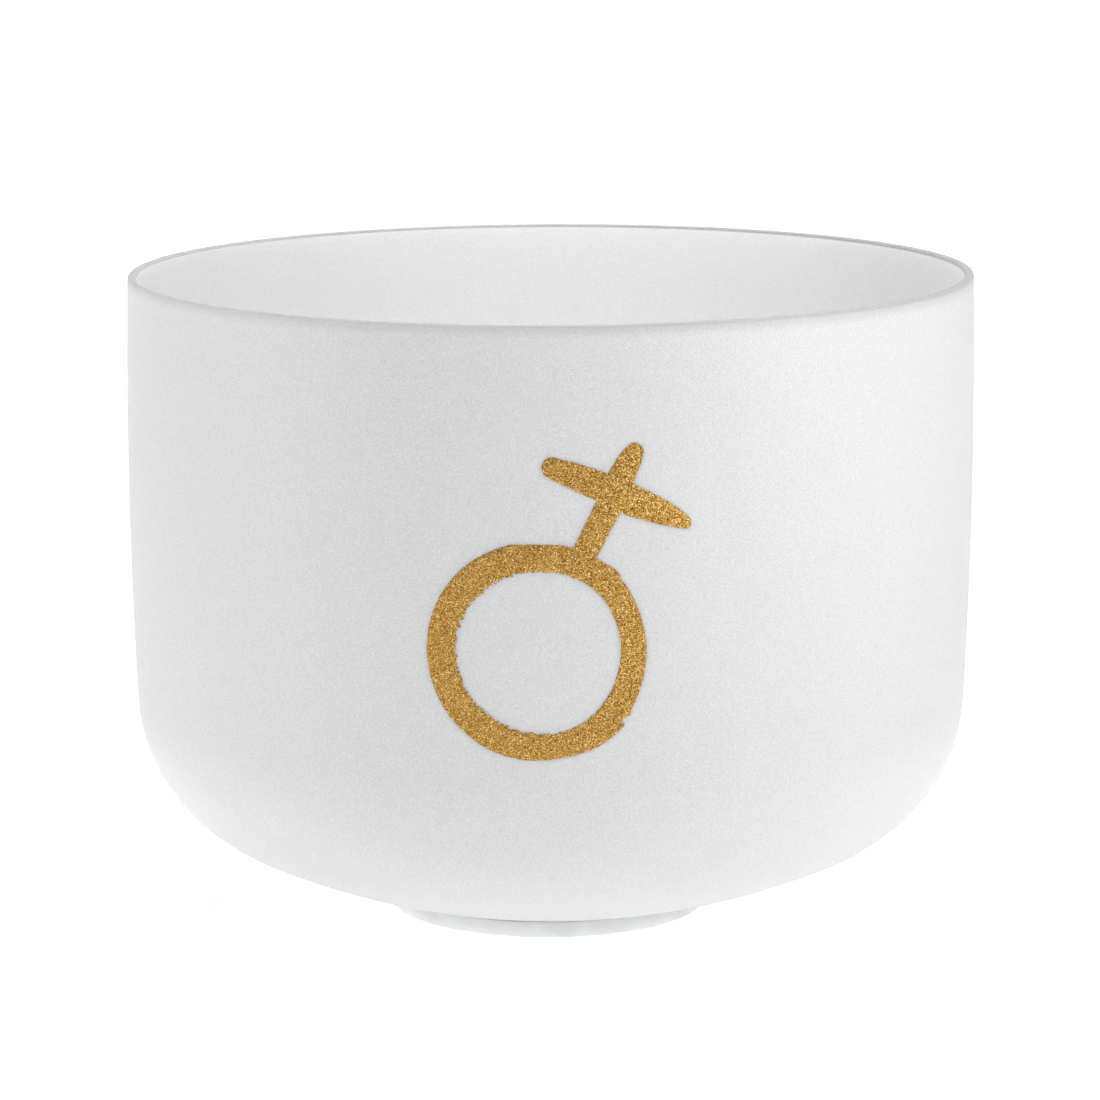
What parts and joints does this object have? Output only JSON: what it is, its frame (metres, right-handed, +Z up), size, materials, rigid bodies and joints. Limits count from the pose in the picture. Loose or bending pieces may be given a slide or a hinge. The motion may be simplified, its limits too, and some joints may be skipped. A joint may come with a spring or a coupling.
{
  "type": "singing bowl",
  "caption": "Frosted crystal singing bowl with a painted gold Earth sign, standing loose on a soft silicone ring; its rim rings when struck or rubbed.",
  "frame": {"origin": "centre of the ring's underside, on the surface that it stands on", "axes": "+Z up along the bowl's axis; -Y points at the viewer who faces the painted sign; +X to that viewer's right"},
  "size_m": [0.305, 0.3053, 0.2326],
  "materials": {
    "silicone": "matt, translucent white silicone rubber",
    "frosted_quartz": "fused quartz with a fine white frosted skin, inside and outside",
    "gold_glitter_paint": "brushed-on acrylic paint full of fine gold glitter"
  },
  "bodies": {
    "ring": {"base_ring": "silicone"},
    "bowl": {"bowl": "frosted_quartz", "gold_sign": "gold_glitter_paint"}
  },
  "joints": [
    {"name": "bowl_lift", "type": "slide", "parent": "ring", "child": "bowl", "axis": [0, 0, 1], "range_m": [0, 0.1]}
  ]
}
